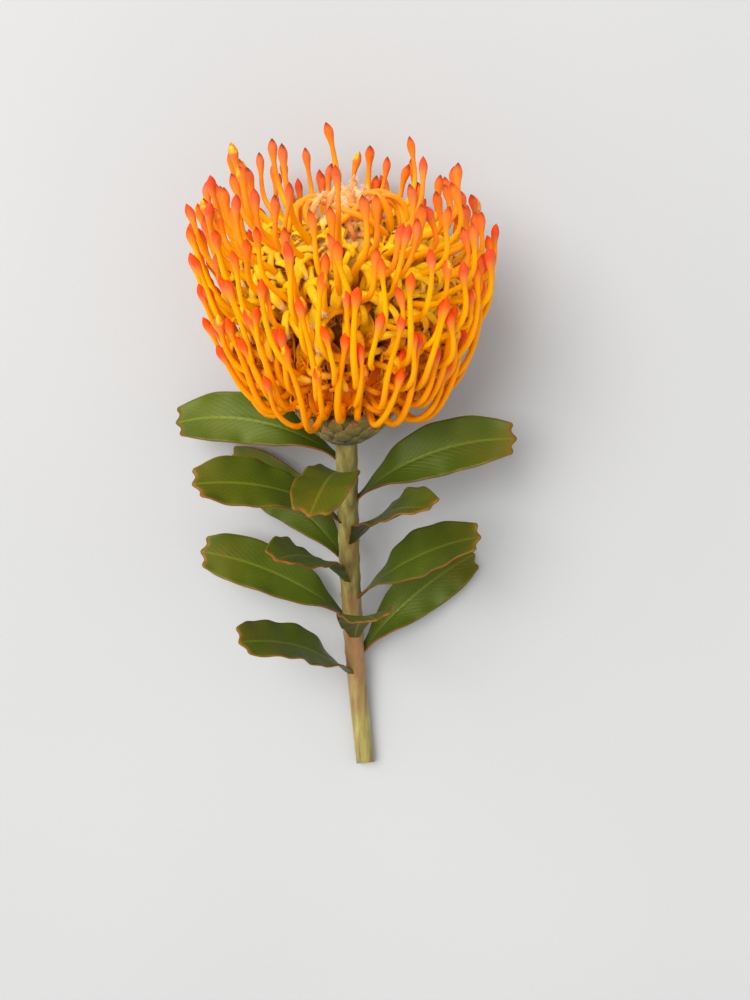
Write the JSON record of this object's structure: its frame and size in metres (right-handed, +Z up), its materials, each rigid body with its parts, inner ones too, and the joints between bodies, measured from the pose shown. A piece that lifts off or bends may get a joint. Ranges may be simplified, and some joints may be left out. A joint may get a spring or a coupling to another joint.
{
  "type": "pincushion protea flower",
  "caption": "Cut pincushion protea lying on a surface: a bowl of long orange styles with pointed coral tips round a cushion of curled yellow perianths, on a leafy stem",
  "frame": {"origin": "middle of the base of the flower's bounding box, on the surface it lies on", "axes": "+Z up, the stem lies along Y with its cut end toward -Y and the flower head toward +Y, X across"},
  "size_m": [0.1346, 0.2584, 0.1044],
  "materials": {
    "styles": "satin",
    "perianths": "satin",
    "young_florets": "matte",
    "bracts": "matte",
    "stem": "matte",
    "leaf": "satin"
  },
  "bodies": {
    "root": {"styles": "styles", "perianths": "perianths", "young_florets": "young_florets", "involucre": "bracts", "stem": "stem", "leaf_01": "leaf", "leaf_02": "leaf", "leaf_03": "leaf", "leaf_04": "leaf", "leaf_05": "leaf", "leaf_06": "leaf", "leaf_07": "leaf", "leaf_08": "leaf", "leaf_09": "leaf", "leaf_10": "leaf", "leaf_11": "leaf", "leaf_12": "leaf"}
  },
  "joints": []
}
